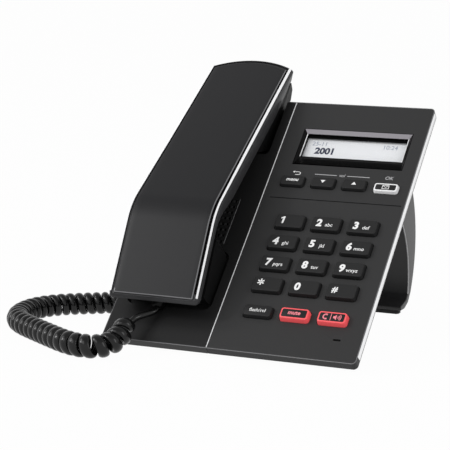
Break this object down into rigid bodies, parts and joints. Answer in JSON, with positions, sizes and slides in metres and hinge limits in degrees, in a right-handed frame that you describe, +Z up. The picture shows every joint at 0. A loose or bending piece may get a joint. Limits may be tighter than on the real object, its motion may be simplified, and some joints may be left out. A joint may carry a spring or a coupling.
{
  "type": "desk ip phone",
  "caption": "Desk IP phone with a sloped keypad base, small display, rear stand, and a handset in a side cradle on a curly cord.",
  "frame": {"origin": "centre of the phone's footprint on the table, without the cord", "axes": "+X to the user's right, +Y away from the user, +Z up"},
  "size_m": [0.2335, 0.1989, 0.1481],
  "materials": {
    "panel_black": "fine textured moulded plastic",
    "housing_black": "satin moulded plastic",
    "handset_black": "fine textured moulded plastic",
    "key_black": "satin key cap with printed legends",
    "red_translucent": "translucent lit plastic",
    "white_translucent": "translucent lit plastic",
    "silver_trim": "satin silver",
    "bezel_gloss": "glossy moulded plastic",
    "clear_window": "clear window",
    "lcd": "reflective liquid crystal cell",
    "ribbon": "flexible flat cable",
    "board": "circuit board",
    "lamp": "light emitting diode",
    "grey_rubber": "silicone",
    "black_rubber": "soft rubber",
    "steel": "zinc plated",
    "capsule_metal": "pressed can",
    "connector_black": "moulded nylon",
    "clear_plug": "moulded modular plug",
    "cord_black": "glossy flexible sheath"
  },
  "bodies": {
    "base": {"rear_cover": "housing_black", "key_panel": "panel_black", "cradle_panel": "panel_black", "side_trims": "silver_trim", "display_bezel": "bezel_gloss", "display_window": "clear_window", "lcd_module": "lcd", "lcd_ribbon": "ribbon", "main_board": "board", "keypad_mat": "grey_rubber", "indicator_leds": "lamp", "loudspeaker": "capsule_metal", "handsfree_microphone": "capsule_metal", "microphone_boot": "black_rubber", "desk_stand": "housing_black", "stand_feet": "black_rubber", "front_feet": "black_rubber", "housing_screws": "steel", "board_screws": "steel", "lan_jacks": "connector_black", "power_jack": "connector_black", "base_cord_jack": "connector_black", "hook_switch": "connector_black", "curly_cord": "cord_black", "base_cord_plug": "clear_plug"},
    "handset": {"handset_back_shell": "handset_black", "handset_face_shell": "handset_black", "handset_trims": "silver_trim", "handset_screws": "steel", "receiver_capsule": "capsule_metal", "receiver_gasket": "black_rubber", "handset_microphone": "capsule_metal", "handset_weight": "steel", "handset_cord_jack": "connector_black", "handset_cord_plug": "clear_plug"},
    "hook_plunger": {"hook_plunger": "connector_black"},
    "key_1": {"key_1": "key_black"},
    "key_2": {"key_2": "key_black"},
    "key_3": {"key_3": "key_black"},
    "key_4": {"key_4": "key_black"},
    "key_5": {"key_5": "key_black"},
    "key_6": {"key_6": "key_black"},
    "key_7": {"key_7": "key_black"},
    "key_8": {"key_8": "key_black"},
    "key_9": {"key_9": "key_black"},
    "key_star": {"key_star": "key_black"},
    "key_0": {"key_0": "key_black"},
    "key_hash": {"key_hash": "key_black"},
    "key_menu": {"key_menu": "key_black"},
    "key_down": {"key_down": "key_black"},
    "key_up": {"key_up": "key_black"},
    "key_ok": {"key_ok": "white_translucent", "ok_key_cap": "key_black"},
    "key_flash": {"key_flash": "key_black"},
    "key_mute": {"key_mute": "red_translucent", "mute_key_cap": "key_black"},
    "key_speaker": {"key_speaker": "red_translucent", "speaker_key_cap": "key_black"}
  },
  "joints": [
    {"name": "key_1_press", "type": "slide", "parent": "base", "child": "key_1", "axis": [0, 0.6797, -0.7335], "range_m": [0, 0.0015], "stiffness_N_per_m": 600},
    {"name": "key_2_press", "type": "slide", "parent": "base", "child": "key_2", "axis": [0, 0.6797, -0.7335], "range_m": [0, 0.0015], "stiffness_N_per_m": 600},
    {"name": "key_3_press", "type": "slide", "parent": "base", "child": "key_3", "axis": [0, 0.6797, -0.7335], "range_m": [0, 0.0015], "stiffness_N_per_m": 600},
    {"name": "key_4_press", "type": "slide", "parent": "base", "child": "key_4", "axis": [0, 0.6797, -0.7335], "range_m": [0, 0.0015], "stiffness_N_per_m": 600},
    {"name": "key_5_press", "type": "slide", "parent": "base", "child": "key_5", "axis": [0, 0.6797, -0.7335], "range_m": [0, 0.0015], "stiffness_N_per_m": 600},
    {"name": "key_6_press", "type": "slide", "parent": "base", "child": "key_6", "axis": [0, 0.6797, -0.7335], "range_m": [0, 0.0015], "stiffness_N_per_m": 600},
    {"name": "key_7_press", "type": "slide", "parent": "base", "child": "key_7", "axis": [0, 0.6797, -0.7335], "range_m": [0, 0.0015], "stiffness_N_per_m": 600},
    {"name": "key_8_press", "type": "slide", "parent": "base", "child": "key_8", "axis": [0, 0.6797, -0.7335], "range_m": [0, 0.0015], "stiffness_N_per_m": 600},
    {"name": "key_9_press", "type": "slide", "parent": "base", "child": "key_9", "axis": [0, 0.6797, -0.7335], "range_m": [0, 0.0015], "stiffness_N_per_m": 600},
    {"name": "key_star_press", "type": "slide", "parent": "base", "child": "key_star", "axis": [0, 0.6797, -0.7335], "range_m": [0, 0.0015], "stiffness_N_per_m": 600},
    {"name": "key_0_press", "type": "slide", "parent": "base", "child": "key_0", "axis": [0, 0.6797, -0.7335], "range_m": [0, 0.0015], "stiffness_N_per_m": 600},
    {"name": "key_hash_press", "type": "slide", "parent": "base", "child": "key_hash", "axis": [0, 0.6797, -0.7335], "range_m": [0, 0.0015], "stiffness_N_per_m": 600},
    {"name": "key_menu_press", "type": "slide", "parent": "base", "child": "key_menu", "axis": [0, 0.6797, -0.7335], "range_m": [0, 0.0015], "stiffness_N_per_m": 600},
    {"name": "key_down_press", "type": "slide", "parent": "base", "child": "key_down", "axis": [0, 0.6797, -0.7335], "range_m": [0, 0.0015], "stiffness_N_per_m": 600},
    {"name": "key_up_press", "type": "slide", "parent": "base", "child": "key_up", "axis": [0, 0.6797, -0.7335], "range_m": [0, 0.0015], "stiffness_N_per_m": 600},
    {"name": "key_ok_press", "type": "slide", "parent": "base", "child": "key_ok", "axis": [0, 0.6797, -0.7335], "range_m": [0, 0.0015], "stiffness_N_per_m": 600},
    {"name": "key_flash_press", "type": "slide", "parent": "base", "child": "key_flash", "axis": [0, 0.6797, -0.7335], "range_m": [0, 0.0015], "stiffness_N_per_m": 600},
    {"name": "key_mute_press", "type": "slide", "parent": "base", "child": "key_mute", "axis": [0, 0.6797, -0.7335], "range_m": [0, 0.0015], "stiffness_N_per_m": 600},
    {"name": "key_speaker_press", "type": "slide", "parent": "base", "child": "key_speaker", "axis": [0, 0.6797, -0.7335], "range_m": [0, 0.0015], "stiffness_N_per_m": 600},
    {"name": "handset_lift", "type": "slide", "parent": "base", "child": "handset", "axis": [0, -0.6797, 0.7335], "range_m": [0, 0.12]},
    {"name": "hook_plunger_rise", "type": "slide", "parent": "base", "child": "hook_plunger", "axis": [0, -0.6797, 0.7335], "range_m": [0, 0.0035]}
  ],
  "couplings": [
    {"joint": "hook_plunger_rise", "follows": "handset_lift", "ratio": 0.029167}
  ]
}
